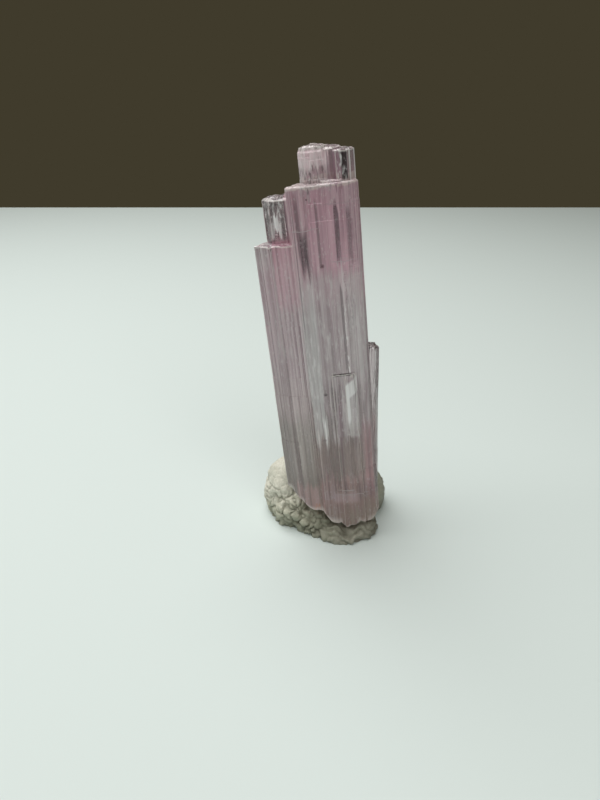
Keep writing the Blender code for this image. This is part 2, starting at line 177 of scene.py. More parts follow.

# Veils, clear bands, facets, healed cracks and a few painted highlights of the side that shows best: their
# box across and along the bundle, how far they fade at the sides and the ends, all in millimetres, their
# colour and how strongly it covers, how clear the crystal is there, and the pattern that it is seen in:
# plain, wavy across the axis, frayed into streaks, banded across the axis, slanted up to the right, mottled,
# beaded or speckled. They are full to one and a half times this depth and then fade, and a slanted one rises
# by this slope
FRONT_DEPTH = 1.7
FACET_SLOPE = 0.8
PaintedPatch = namedtuple("PaintedPatch", "left right low high side_fade end_fade colour cover clear pattern")
VEILS_AND_HIGHLIGHTS = (
    # main crystal: grey band, pale seams, dark stripes, milky upper part, clouded foot
    PaintedPatch(-2.2, 2.2, 19.0, 25.1, 0.1, 1.6, "#F0C3D2", 0.6, 0.35, "frayed"),
    PaintedPatch(-0.85, 1.1, 20.5, 25.0, 0.3, 1.2, "#DDA9BB", 0.35, 0.3, "plain"),
    PaintedPatch(0.3, 2.2, 23.9, 25.1, 0.1, 0.1, "#D9BCC6", 0.35, 0.35, "plain"),
    PaintedPatch(-1.1, 1.9, 12.8, 19.4, 0.1, 1.0, "#F4ECEE", 0.5, 0.4, "frayed"),
    PaintedPatch(-1.9, -1.1, 9.0, 18.8, 0.05, 2.0, "#F1F2F2", 0.6, 0.45, "frayed"),
    PaintedPatch(-1.0, 0.5, 13.0, 19.5, 0.1, 1.2, "#D3BEC6", 0.3, 0.45, "frayed"),
    PaintedPatch(-1.9, -1.1, 9.0, 19.5, 0.1, 1.5, "#FFFFFF", 0.5, 0.35, "mottled"),
    PaintedPatch(-0.9, 1.9, 13.5, 19.0, 0.1, 1.5, "#FFFFFF", 0.4, 0.4, "mottled"),
    PaintedPatch(0.85, 1.4, 16.5, 19.8, 0.1, 0.8, "#6A5C64", 0.2, 0.6, "speckled"),
    PaintedPatch(-2.1, -1.93, 12.0, 21.5, 0.03, 1.0, "#FFFFFF", 0.95, 0.15, "frayed"),
    PaintedPatch(0.8, 2.0, 19.5, 23.6, 0.2, 1.0, "#F4DDE4", 0.25, 0.4, "banded"),
    PaintedPatch(-1.86, -1.82, 17.5, 24.3, 0.04, 1.5, "#6E5560", 0.3, 0.6, "frayed"),
    PaintedPatch(-1.66, -1.52, 21.6, 23.8, 0.08, 1.2, "#634A56", 0.7, 0.6, "frayed"),
    PaintedPatch(-1.52, -1.24, 21.0, 22.0, 0.09, 1.3, "#5E4652", 0.85, 0.6, "frayed"),
    PaintedPatch(-1.2, -1.12, 20.2, 22.5, 0.04, 0.8, "#7A5F6B", 0.5, 0.6, "frayed"),
    PaintedPatch(-0.52, -0.4, 20.8, 23.5, 0.04, 0.8, "#9B7886", 0.5, 0.6, "frayed"),
    PaintedPatch(0.56, 0.76, 20.9, 23.4, 0.08, 0.8, "#77596A", 0.65, 0.7, "frayed"),
    PaintedPatch(1.29, 1.45, 21.0, 23.4, 0.08, 0.8, "#77596A", 0.6, 0.7, "frayed"),
    PaintedPatch(0.71, 0.8, 13.3, 17.6, 0.03, 0.8, "#FFFFFF", 0.9, 0.25, "beaded"),
    PaintedPatch(0.73, 0.78, 16.0, 20.2, 0.04, 1.0, "#F4EEF0", 0.5, 0.4, "frayed"),
    PaintedPatch(0.55, 0.66, 13.4, 18.5, 0.05, 0.6, "#6E5F66", 0.5, 0.6, "frayed"),
    PaintedPatch(0.95, 1.9, 13.5, 19.5, 0.1, 0.8, "#EFEFEE", 0.45, 0.5, "frayed"),
    PaintedPatch(-1.14, -1.02, 13.5, 19.8, 0.04, 1.0, "#FFFFFF", 0.6, 0.3, "frayed"),
    PaintedPatch(-1.22, -1.04, 7.4, 9.9, 0.05, 0.3, "#FFFFFF", 0.75, 0.2, "frayed"),
    PaintedPatch(-1.75, -1.68, 3.0, 8.6, 0.03, 0.8, "#F6EFEC", 0.6, 0.3, "plain"),
    PaintedPatch(1.36, 1.43, 2.8, 8.2, 0.03, 0.8, "#F4ECEA", 0.6, 0.3, "plain"),
    PaintedPatch(-2.3, 2.0, 4.6, 7.6, 0.1, 1.2, "#B49C90", 0.55, 0.7, "frayed"),
    PaintedPatch(1.45, 2.3, 2.9, 8.5, 0.25, 1.6, "#CF98A2", 0.6, 0.6, "frayed"),
    PaintedPatch(-2.2, 2.2, -0.5, 2.9, 0.1, 0.5, "#C7A89E", 0.55, 0.5, "wavy"),
    PaintedPatch(0.0, 2.0, 1.3, 3.2, 0.3, 0.5, "#A99D87", 0.45, 0.5, "frayed"),
    PaintedPatch(-2.0, 1.9, 3.0, 4.6, 0.1, 1.0, "#CF9BA3", 0.4, 0.5, "frayed"),
    PaintedPatch(-0.9, 0.5, 3.05, 3.45, 0.3, 0.5, "#E8CDD0", 0.4, 0.4, "plain"),
    PaintedPatch(-2.2, 2.2, 24.9, 25.4, 0.1, 0.08, "#EFE0DA", 0.65, 0.3, "wavy"),
    # the shield-like facet and the plate it sits on, the facet painted white as a highlight of the light it
    # reflects
    PaintedPatch(0.42, 1.12, 11.9, 12.75, 0.06, 0.25, "#FFFFFF", 0.92, 0.15, "slanted"),
    PaintedPatch(0.42, 1.12, 9.6, 11.5, 0.06, 1.1, "#FFFFFF", 0.9, 0.15, "frayed"),
    PaintedPatch(0.5, 1.1, 8.6, 9.3, 0.1, 0.4, "#D8D4D2", 0.5, 0.3, "plain"),
    PaintedPatch(0.3, 1.0, 8.55, 8.62, 0.1, 0.06, "#E6E2E0", 0.4, 0.4, "wavy"),
    PaintedPatch(-0.28, -0.22, 8.8, 13.1, 0.03, 0.5, "#F2E8EA", 0.5, 0.4, "plain"),
    PaintedPatch(-0.2, 0.75, 13.1, 13.2, 0.3, 0.06, "#3E3336", 0.85, 0.6, "plain"),
    # healed cracks and growth lines across the axis
    PaintedPatch(-1.9, -0.7, 22.58, 22.61, 0.5, 0.025, "#FFF8F8", 0.5, 0.5, "wavy"),
    PaintedPatch(0.3, 1.7, 23.9, 23.93, 0.5, 0.03, "#E9D0D8", 0.35, 0.45, "wavy"),
    PaintedPatch(0.4, 1.6, 20.58, 20.61, 0.4, 0.025, "#F4EAEC", 0.4, 0.5, "wavy"),
    PaintedPatch(-0.6, 0.25, 3.94, 3.99, 0.3, 0.03, "#FBF2EE", 0.6, 0.5, "wavy"),
    PaintedPatch(-0.5, 1.2, 3.52, 3.57, 0.5, 0.03, "#F3E8E4", 0.45, 0.5, "wavy"),
    # dark inclusions
    PaintedPatch(-1.0, -0.92, 11.76, 11.84, 0.12, 0.08, "#4A4145", 0.8, 0.7, "plain"),
    PaintedPatch(-1.36, -1.28, 8.2, 8.28, 0.1, 0.08, "#5A4E50", 0.7, 0.7, "plain"),
    PaintedPatch(-0.45, -0.35, 20.42, 20.48, 0.12, 0.09, "#8A5265", 0.7, 0.6, "wavy"),
    PaintedPatch(-0.97, -0.93, 24.28, 24.33, 0.05, 0.04, "#5E4450", 0.7, 0.7, "plain"),
    # left crystals: pink front, clear rear end with a painted highlight, grey-green lower part
    PaintedPatch(-3.2, -2.0, 18.6, 21.9, 0.15, 1.2, "#E3AABB", 0.75, 0.4, "frayed"),
    PaintedPatch(-3.4, -3.3, 15.0, 21.8, 0.04, 1.0, "#F7F1F1", 0.6, 0.4, "frayed"),
    PaintedPatch(-4.4, -3.45, 15.0, 20.6, 0.1, 1.5, "#E2C9D1", 0.55, 0.45, "frayed"),
    PaintedPatch(-4.4, -3.5, 20.6, 21.8, 0.08, 0.6, "#ECE9E8", 0.6, 0.4, "frayed"),
    PaintedPatch(-4.4, -2.0, 4.0, 11.5, 0.1, 2.5, "#CDC7BC", 0.4, 0.55, "frayed"),
    PaintedPatch(-4.4, -2.0, 3.0, 10.0, 0.1, 2.0, "#B9B1AA", 0.3, 0.6, "plain"),
    PaintedPatch(-3.6, -1.9, 1.9, 4.2, 0.2, 0.8, "#D8A3A6", 0.5, 0.4, "frayed"),
    PaintedPatch(-2.6, -2.2, 2.2, 2.8, 0.1, 0.2, "#D68F6C", 0.6, 0.4, "beaded"),
    PaintedPatch(-4.4, -2.0, 11.0, 20.0, 0.1, 2.0, "#F0D8E0", 0.45, 0.4, "frayed"),
    PaintedPatch(-4.4, -2.0, 14.0, 20.0, 0.1, 2.0, "#FFFFFF", 0.3, 0.45, "mottled"),
    PaintedPatch(-3.7, -2.3, 22.1, 24.5, 0.05, 0.2, "#F4F0EE", 0.3, 0.92, "plain"),
    PaintedPatch(-3.6, -2.4, 22.3, 24.3, 0.05, 0.4, "#3E3438", 0.6, 0.5, "banded"),
    PaintedPatch(-3.6, -2.4, 23.4, 24.4, 0.05, 0.2, "#FFFFFF", 0.55, 0.3, "beaded"),
    PaintedPatch(-3.6, -2.4, 23.6, 24.3, 0.05, 0.2, "#2E262A", 0.8, 0.4, "speckled"),
    # A painted highlight on the clear rear end of the left crystals
    PaintedPatch(-3.15, -2.65, 22.5, 23.2, 0.12, 0.2, "#FFFFFF", 0.9, 0.15, "frayed"),
    PaintedPatch(-3.36, -3.28, 22.0, 24.0, 0.03, 0.2, "#4E4146", 0.7, 0.8, "frayed"),
    # ends: pale band, partly its own pink and partly a painted highlight, and mottled neck of the left one,
    # clear right one with its dark marks
    PaintedPatch(-1.2, 0.5, 26.55, 27.0, 0.05, 0.06, "#DDD2CC", 0.4, 0.45, "wavy"),
    PaintedPatch(-1.2, 0.5, 26.55, 27.0, 0.05, 0.06, "#5A4C50", 0.4, 0.5, "speckled"),
    # Pale pink band of the left end: partly its own pink, partly a painted highlight
    PaintedPatch(-1.2, 0.5, 26.0, 26.6, 0.08, 0.25, "#F6D8E0", 0.85, 0.2, "wavy"),
    PaintedPatch(-1.2, 0.5, 24.9, 26.1, 0.1, 0.3, "#E2D6DA", 0.6, 0.4, "frayed"),
    PaintedPatch(-1.2, 0.5, 25.0, 26.1, 0.1, 0.3, "#FFFFFF", 0.5, 0.3, "beaded"),
    PaintedPatch(-1.2, 0.5, 25.0, 25.9, 0.1, 0.3, "#5A4A52", 0.45, 0.6, "speckled"),
    # Near-white streaks on that band: a painted highlight
    PaintedPatch(-1.2, 0.5, 26.1, 26.5, 0.1, 0.45, "#FFF0F3", 0.8, 0.15, "frayed"),
    PaintedPatch(0.45, 1.15, 25.0, 26.6, 0.08, 0.1, "#BE95A8", 0.75, 0.5, "frayed"),
    PaintedPatch(0.6, 0.72, 25.2, 26.5, 0.05, 0.2, "#7A5568", 0.6, 0.5, "frayed"),
    PaintedPatch(1.22, 1.5, 25.2, 26.5, 0.05, 0.2, "#1E181B", 0.9, 0.25, "plain"),
    PaintedPatch(0.98, 1.24, 25.1, 26.6, 0.05, 0.15, "#FFFFFF", 0.7, 0.25, "beaded"),
    PaintedPatch(1.3, 1.45, 25.1, 25.8, 0.05, 0.15, "#FFFFFF", 0.4, 0.25, "beaded"),
    PaintedPatch(1.5, 1.62, 25.2, 26.4, 0.03, 0.15, "#4A3E44", 0.7, 0.4, "frayed"),
    PaintedPatch(1.64, 1.7, 25.1, 26.6, 0.02, 0.1, "#FFFFFF", 0.85, 0.2, "frayed"),
    PaintedPatch(1.96, 2.02, 25.1, 26.6, 0.02, 0.1, "#FFFFFF", 0.75, 0.2, "plain"),
    PaintedPatch(2.05, 2.9, 4.0, 15.0, 0.05, 0.5, "#EFE6E8", 0.3, 0.92, "plain"),
)

# Thumbed lobes of the putty: centre, then half sizes, in millimetres
PUTTY_LOBES = (
    ((0.4, 0.6, 0.2), (3.8, 2.6, 1.3)), ((-2.85, 1.2, 1.6), (1.7, 2.0, 3.1)),
    ((-2.2, -0.3, 0.8), (1.7, 1.3, 1.9)), ((-0.6, -1.2, 0.3), (1.7, 1.2, 1.5)),
    ((1.3, -1.9, 0.1), (2.1, 1.4, 0.85)), ((2.95, -1.35, 0.3), (1.1, 1.5, 1.0)),
    ((3.7, 1.75, 1.0), (1.25, 1.7, 2.2)), ((0.6, 2.6, 0.9), (3.2, 1.35, 1.9)),
)

# Colours of the putty from its lower right to its upper left, partly its own grey-green and cream, partly
# painted shade on the lower right and painted light on the upper left; then of its grit and of its creases
PUTTY_COLOURS_AND_LIGHT = (
    (0.0, "#888578"), (0.25, "#A6A596"), (0.5, "#979886"), (0.72, "#C4C4B1"), (0.9, "#E6E4D5"),
)
PUTTY_GRIT = "#BEBDB0"
# Painted shade for the creases, the fold troughs and the hollow under the crystal's foot
PUTTY_CREASE_SHADE = "#5E5B4C"
CLEAN = "#FFFFFF"

# How the putty is kneaded, in millimetres: how far its lumps wander and how closely, the small lumps as a
# share of the large ones, and the widths of a crease and of a curl's ridge
WANDER = 0.6
WANDER_GRAIN = 1.3
SMALL_LUMPS = 0.45
CREASE_WIDTH = 0.28
CURL_WIDTH = 0.09

# Where it was pressed flat, thumbed or folded over: directions, and how far along each of them, in
# millimetres, the patch begins and is full. Then how much flatter the lumps are there
PRESSED_PATCH = (((0, 0, 1), 2.2, 3.4), ((-1, 0, 0), 1.8, 2.6))
THUMBED_PATCH = (((1, 0, 0), 2.9, 3.5), ((0, 1, 0), -0.6, 0.2), ((0, -1, 0), -2.4, -1.2))
FOLDED_PATCH = (((1, 0, 0), -0.6, 0.6), ((0, -1, 0), 0.6, 1.4))
PRESSED_FLATTER = 0.85
FOLDED_FLATTER = 0.75

# How steeply the folds run across, back and up, how much they wander, and how close they are
FOLD_SLANT = (0.45, 0.9, 2.2)
FOLD_WANDER = 2.6
FOLD_RATE = 5.0

# The hollow under the main crystal's foot, in millimetres: place across and height, half width and half
# height, and depth. Its shadow is painted on the putty as dark colour.
PUTTY_HOLLOW = ((1.45, 0.75), (0.42, 0.25))
HOLLOW_DEPTH = 0.3

# Rolled curls of putty on the front left, in millimetres: place across, height and radius, and how far back
# they reach
PUTTY_CURLS = (
    (-3.1, 2.35, 0.22), (-2.7, 2.0, 0.2), (-3.3, 1.85, 0.16), (-2.2, 1.5, 0.24), (-2.75, 1.3, 0.18),
)
CURLS_END = 0.6

# The pale card and the backdrop
CARD_COLOUR = "#D9E3DF"
BACKDROP = "#403B2C"

# The lamps: name, place and side in metres, and power in watts. Then where they point
LAMPS = (
    ("key light", (-0.06, 0.03, 0.17), 0.18, 0.37),
    ("fill light", (0.03, -0.12, 0.14), 0.12, 0.09),
)
LAMP_AIM = Vector((0, 0, 0.012))

# The camera's place in metres, and how far it looks down in degrees
CAMERA_PLACE = (-0.00185, -0.0376, 0.0305)
CAMERA_DIP = 28.1


def linear(hex_colour):
    """A hex colour, as a paint chart gives it, as the linear colour that a shader takes."""
    parts = [int(hex_colour[i:i + 2], 16) / 255 for i in (1, 3, 5)]
    return (*[c / 12.92 if c <= 0.04045 else ((c + 0.055) / 1.055) ** 2.4 for c in parts], 1.0)


def bundle_matrix():
    """From the bundle's frame, in millimetres, to the world, in metres: leaning to the left."""
    return Matrix.Translation(AXIS_FOOT) @ Matrix.Rotation(-LEAN, 4, "Y") @ Matrix.Scale(MM, 4)


def add(tree, kind, inputs=None, stops=None, **settings):
    """Adds a node with its settings. An input takes a value, or the socket that it is linked from."""
    made = tree.nodes.new(kind)
    for name, value in settings.items():
        setattr(made, name, value)
    for socket, value in (inputs or {}).items():
        if isinstance(value, bpy.types.NodeSocket):
            tree.links.new(value, made.inputs[socket])
        else:
            made.inputs[socket].default_value = value
    if stops:
        elements = made.color_ramp.elements
        while len(elements) < len(stops):
            elements.new(1.0)
        for element, (place, colour) in zip(elements, stops):
            element.position = place
            element.color = linear(colour)
    return made


def new_material(name):
    """An empty material with its tree and its output."""
    made = bpy.data.materials.new(name)
    made.use_nodes = True
    made.node_tree.nodes.clear()
    return made, made.node_tree


def apply_modifiers(obj):
    """Applies all of an object's modifiers, in order."""
    bpy.context.view_layer.objects.active = obj
    for modifier in list(obj.modifiers):
        bpy.ops.object.modifier_apply(modifier=modifier.name)


def start_alone():
    """Leaves edit mode and deselects everything, so that an operator acts on new work only."""
    if bpy.context.object and bpy.context.object.mode != "OBJECT":
        bpy.ops.object.mode_set(mode="OBJECT")
    bpy.ops.object.select_all(action="DESELECT")


def face_outwards(obj):
    """Turns all faces of the closed mesh in edit mode outwards, and leaves edit mode."""
    bpy.ops.mesh.select_all(action="SELECT")
    bpy.ops.mesh.normals_make_consistent(inside=False)
    if bmesh.from_edit_mesh(obj.data).calc_volume(signed=True) < 0:
        bpy.ops.mesh.flip_normals()
    bpy.ops.object.mode_set(mode="OBJECT")


def outline_points(prism, pitch, grow=0.0):
    """Points along a prism's cross-section about one pitch apart: place, way inwards and distance around."""
    left, right = prism.left - grow, prism.right + grow
    front, back = prism.front - grow, prism.back + grow
    corners = [Vector((left + u * (right - left), front + v * (back - front), 0)) for u, v in prism.section]
    points = []
    around = 0.0
    for start, end in zip(corners, corners[1:] + corners[:1]):
        edge = end - start
        inward = Vector((-edge.y, edge.x, 0)).normalized()
        steps = max(1, round(edge.length / pitch))
        for step in range(steps):
            share = step / steps
            points.append((start + edge * share, inward, around + edge.length * share))
        around += edge.length
    return points, around


def divided(length, shortest, longest, chance):
    """Marks along a length that lie a random distance apart."""
    marks = [0.0]
    while marks[-1] < length:
        marks.append(marks[-1] + chance.uniform(shortest, longest))
    return marks


def face_relief(prism, around, settings, chance):
    """Chooses a prism's striations and growth plates. Gives the heights at which plates end, and a function
    of the distance around and the height that says how far a face lies below the plain outline."""
    grooves = divided(around, *STRIA_WIDTHS, chance)
    ranges = (CREST_DEPTHS, GROOVE_DEPTHS)
    bottoms = [chance.uniform(*ranges[number % 2]) for number in range(len(grooves))]
    plates = divided(around, *PLATE_WIDTHS, chance)
    length = prism.top - prism.foot
    ends = sorted(prism.foot + length * chance.uniform(*STEPPED_PART) for _ in range(settings.growth_ends))
    stopping = [[end for end in ends if chance.random() < PLATES_ENDING] for _ in plates]
    phase = chance.uniform(0, 100)

    def groove_depth(number, height):
        run = noise.noise(Vector((number * 3.7, height / STRIA_RUN, phase)))
        return bottoms[number] * min(1.0, max(0.0, GROOVE_LEVEL + GROOVE_SWING * run))

    def depth(distance, height):
        number = bisect.bisect_right(grooves, distance) - 1
        share = (distance - grooves[number]) / (grooves[number + 1] - grooves[number])
        cut = groove_depth(number, height) * (1 - share) + groove_depth(number + 1, height) * share
        plate = bisect.bisect_right(plates, distance) - 1
        passed = sum(1 for end in stopping[plate] if end < height)
        return settings.stria_depth * cut + settings.growth_step * passed

    return ends, depth


def wall_heights(low, high, ring_gap, ends):
    """Heights of a prism's rings, evenly apart and closely above and below each growth step."""
    count = max(1, round((high - low) / ring_gap))
    heights = [low + (high - low) * ring / count for ring in range(count + 1)]
    for end in ends:
        if low + RIM_REACH < end < high - RIM_REACH:
            heights += [end - STEP_EDGE, end + STEP_EDGE]
    return sorted(heights + [high - RIM_REACH])


def grow_prism(prism, settings, seed, plain=0.0):
    """Draws a prism's cross-section, extrudes it upwards ring by ring, cuts its relief and closes its end.
    With a plain size it has no relief and stands that far outside the real one."""
    pitch = IMPRINT_PITCH if plain else settings.stria_pitch
    outline, around = outline_points(prism, pitch, plain)
    middle = sum((point for point, _, _ in outline), Vector()) / len(outline)
    chance = random.Random(seed)
    ends, depth = face_relief(prism, around, settings, chance)
    low, high = prism.foot - plain, prism.top + plain
    wall_top = high - sum(lift for lift, _ in prism.rim)
    heights = [low, wall_top] if plain else wall_heights(low, wall_top, settings.ring_gap, ends)
    insets = [0.0] * len(heights)
    for lift, inset in prism.rim:
        heights.append(heights[-1] + lift)
        insets.append(insets[-1] + inset)
    caps = () if plain else END_RINGS
    start_alone()
    bpy.ops.mesh.primitive_circle_add(vertices=len(outline), radius=1.0)
    obj = bpy.context.object
    obj.name = "prism_" + prism.name
    bpy.ops.object.mode_set(mode="EDIT")
    bpy.ops.mesh.select_all(action="SELECT")
    for _ in range(len(heights) - 1 + len(caps)):
        bpy.ops.mesh.extrude_region_move()
    mesh = bmesh.from_edit_mesh(obj.data)
    mesh.verts.ensure_lookup_table()
    for index, vert in enumerate(mesh.verts):
        ring, column = divmod(index, len(outline))
        point, inward, distance = outline[column]
        height = heights[min(ring, len(heights) - 1)]
        towards = middle - point
        place = point + Vector((0, 0, height))
        if not plain:
            place += inward * depth(distance, min(height, wall_top))
        if ring < len(heights):
            place += towards.normalized() * insets[ring]
        else:
            place += towards.normalized() * insets[-1] * (1 - caps[ring - len(heights)])
            place += towards * caps[ring - len(heights)]
            place.z -= settings.end_relief * abs(noise.noise(Vector((place.x, place.y, ring + seed))))
        if ring == len(heights) - 1 and not plain:
            place.z -= settings.end_relief * max(0.0, noise.noise(place * 2.3) + 0.1)
        vert.co = place
    bmesh.update_edit_mesh(obj.data)
    bpy.ops.mesh.edge_face_add()
    bpy.ops.mesh.select_all(action="DESELECT")
    mesh = bmesh.from_edit_mesh(obj.data)
    for edge in mesh.edges:
        edge.select = edge.is_boundary
    bmesh.update_edit_mesh(obj.data)
    bpy.ops.mesh.edge_face_add()
    face_outwards(obj)
    for angle, axis, height in ((prism.splay, "Y", prism.foot), (prism.tip, "X", prism.top)):
        pivot = Matrix.Translation((0, 0, height))
        obj.data.transform(pivot @ Matrix.Rotation(math.radians(angle), 4, axis) @ pivot.inverted())
    return obj


def join_by_boolean(obj, other, operation):
    """Joins or cuts with another object, and removes that one."""
    modifier = obj.modifiers.new("grown", "BOOLEAN")
    modifier.operation = operation
    modifier.solver = "MANIFOLD"
    modifier.object = other
    apply_modifiers(obj)
    bpy.data.objects.remove(other)


def drop_flakes(obj):
    """Deletes the specks that Booleans leave loose beside the one solid, and keeps its largest shell."""
    mesh = bmesh.new()
    mesh.from_mesh(obj.data)
    waiting = set(mesh.verts)
    shells = []
    while waiting:
        shell = [waiting.pop()]
        for vert in shell:
            linked = {edge.other_vert(vert) for edge in vert.link_edges} & waiting
            waiting -= linked
            shell.extend(linked)
        shells.append(shell)
    shells.sort(key=len)
    for shell in shells[:-1]:
        bmesh.ops.delete(mesh, geom=shell, context="VERTS")
    mesh.to_mesh(obj.data)
    mesh.free()


def break_height(across, back, ripple=0.0):
    """How high above the axis foot the crystal's broken end lies, in millimetres."""
    height = min(
        along + ((across - u) ** 2 + (back - v) ** 2) / (2 * radius)
        for u, v, along, radius in BREAK_BULGES
    )
    if ripple:
        height += ripple * noise.noise(Vector((across * RIPPLES[0], back * RIPPLES[0], height * RIPPLES[1])))
    return height


def break_cutter(lower):
    """A block whose top is the broken end's shell-like surface, a little lower for the putty's imprint."""
    (left, right), (front, rear) = BREAK_BOX
    columns, rows = round((right - left) / BREAK_GRID), round((rear - front) / BREAK_GRID)
    start_alone()
    bpy.ops.mesh.primitive_grid_add(x_subdivisions=columns, y_subdivisions=rows, size=1.0)
    obj = bpy.context.object
    bpy.ops.object.mode_set(mode="EDIT")
    bpy.ops.mesh.select_all(action="SELECT")
    bpy.ops.mesh.extrude_region_move(TRANSFORM_OT_translate={"value": (0, 0, -1)})
    mesh = bmesh.from_edit_mesh(obj.data)
    for vert in mesh.verts:
        vert.co.x = left + (vert.co.x + 0.5) * (right - left)
        vert.co.y = front + (vert.co.y + 0.5) * (rear - front)
        is_top = vert.co.z > -0.5
        vert.co.z = break_height(vert.co.x, vert.co.y, BREAK_RIPPLE) - lower if is_top else BREAK_FLOOR
    bmesh.update_edit_mesh(obj.data)
    face_outwards(obj)
    return obj


def grow_bundle(name, settings, plain=0.0):
    """All prisms grown together and broken off at the foot, in the bundle's frame in millimetres."""
    grown = None
    for number, prism in enumerate(PRISMS):
        piece = grow_prism(prism, settings, settings.seed + number, plain)
        if grown is None:
            grown = piece
        else:
            join_by_boolean(grown, piece, "UNION")
    join_by_boolean(grown, break_cutter(plain), "DIFFERENCE")
    drop_flakes(grown)
    grown.name = name
    return grown


def mark_edges(obj, name):
    """Stores how sharply the surface turns outwards at each point of the bundle, which is where a crystal
    wears and where a highlight is painted on its edges: at its ends, at the break and less along its sides,
    but not at the low steps of its faces."""
    mesh = bmesh.new()
    mesh.from_mesh(obj.data)
    turns = [0.0] * len(mesh.verts)
    mesh.verts.index_update()
    for edge in mesh.edges:
        turn = edge.calc_face_angle_signed(0.0) if len(edge.link_faces) == 2 else 0.0
        first, second = edge.verts
        for vert in edge.verts:
            place = vert.co
            if abs((first.co - second.co).normalized().z) > 0.9:
                wear_and_highlight_weight = SIDE_WEAR_AND_HIGHLIGHT
            elif min(abs(place.z - prism.top) for prism in PRISMS) < 2 * RIM_REACH:
                wear_and_highlight_weight = 1.0
            elif abs(place.z - break_height(place.x, place.y)) < RIM_REACH:
                wear_and_highlight_weight = SIDE_WEAR_AND_HIGHLIGHT
            else:
                wear_and_highlight_weight = 0.0
            turns[vert.index] = max(turns[vert.index], turn * wear_and_highlight_weight)
    mesh.free()
    layer = obj.data.attributes.new(name, "FLOAT", "POINT")
    layer.data.foreach_set("value", turns)


def inside_box(tree, place, painted_patch):
    """1 within a painted patch's box of the bundle's frame, fading to 0 over its soft edge."""
    middle = Vector(((painted_patch.left + painted_patch.right) / 2, FRONT_DEPTH / 2, (painted_patch.low + painted_patch.high) / 2))
    half = Vector(((painted_patch.right - painted_patch.left) / 2, FRONT_DEPTH, (painted_patch.high - painted_patch.low) / 2))
    moved = add(tree, "ShaderNodeVectorMath", {0: place, 1: middle}, operation="SUBTRACT").outputs[0]
    away = add(tree, "ShaderNodeVectorMath", {0: moved}, operation="ABSOLUTE").outputs[0]
    beyond = add(tree, "ShaderNodeVectorMath", {0: away, 1: half}, operation="SUBTRACT").outputs[0]
    outside = add(tree, "ShaderNodeVectorMath", {0: beyond, 1: (0, 0, 0)}, operation="MAXIMUM").outputs[0]
    edge = (painted_patch.side_fade, 1.0, painted_patch.end_fade)
    faded = add(tree, "ShaderNodeVectorMath", {0: outside, 1: edge}, operation="DIVIDE").outputs[0]
    distance = add(tree, "ShaderNodeVectorMath", {0: faded}, operation="LENGTH").outputs["Value"]
    return add(tree, "ShaderNodeMapRange", {
        "Value": distance, "From Min": 0.0, "From Max": 1.0, "To Min": 1.0, "To Max": 0.0,
    }, interpolation_type="SMOOTHSTEP").outputs[0]


def streaks(tree, place, kind):
    """One kind of the crystals' streaks, from 0 between them to 1."""
    across, along, low, high, detail = STREAKS[kind]
    squeezed = add(tree, "ShaderNodeVectorMath", {0: place, 1: (across, across, along)}, operation="MULTIPLY")
    grain = add(tree, "ShaderNodeTexNoise", {"Vector": squeezed.outputs[0], "Scale": 1.0, "Detail": detail})
    return add(tree, "ShaderNodeMapRange", {
        "Value": grain.outputs["Fac"], "From Min": low, "From Max": high,
    }).outputs[0]


def moved_along(tree, place, amount, times, plus):
    """A place moved along the crystals, by an amount that is multiplied and added to."""
    shift = add(tree, "ShaderNodeMath", {0: amount, 1: times, 2: plus}, operation="MULTIPLY_ADD").outputs[0]
    offset = add(tree, "ShaderNodeCombineXYZ", {"Z": shift}).outputs[0]
    return add(tree, "ShaderNodeVectorMath", {0: place, 1: offset}, operation="ADD").outputs[0]


def blended(tree, share, under, over, blend="MIX"):
    """Lays one colour over another by a share, which is a socket or a number."""
    made = add(tree, "ShaderNodeMix", {0: share, 6: under, 7: over}, data_type="RGBA", blend_type=blend)
    return made.outputs[2]


def product(tree, first, second):
    """Two shares multiplied."""
    return add(tree, "ShaderNodeMath", {0: first, 1: second}, operation="MULTIPLY").outputs[0]


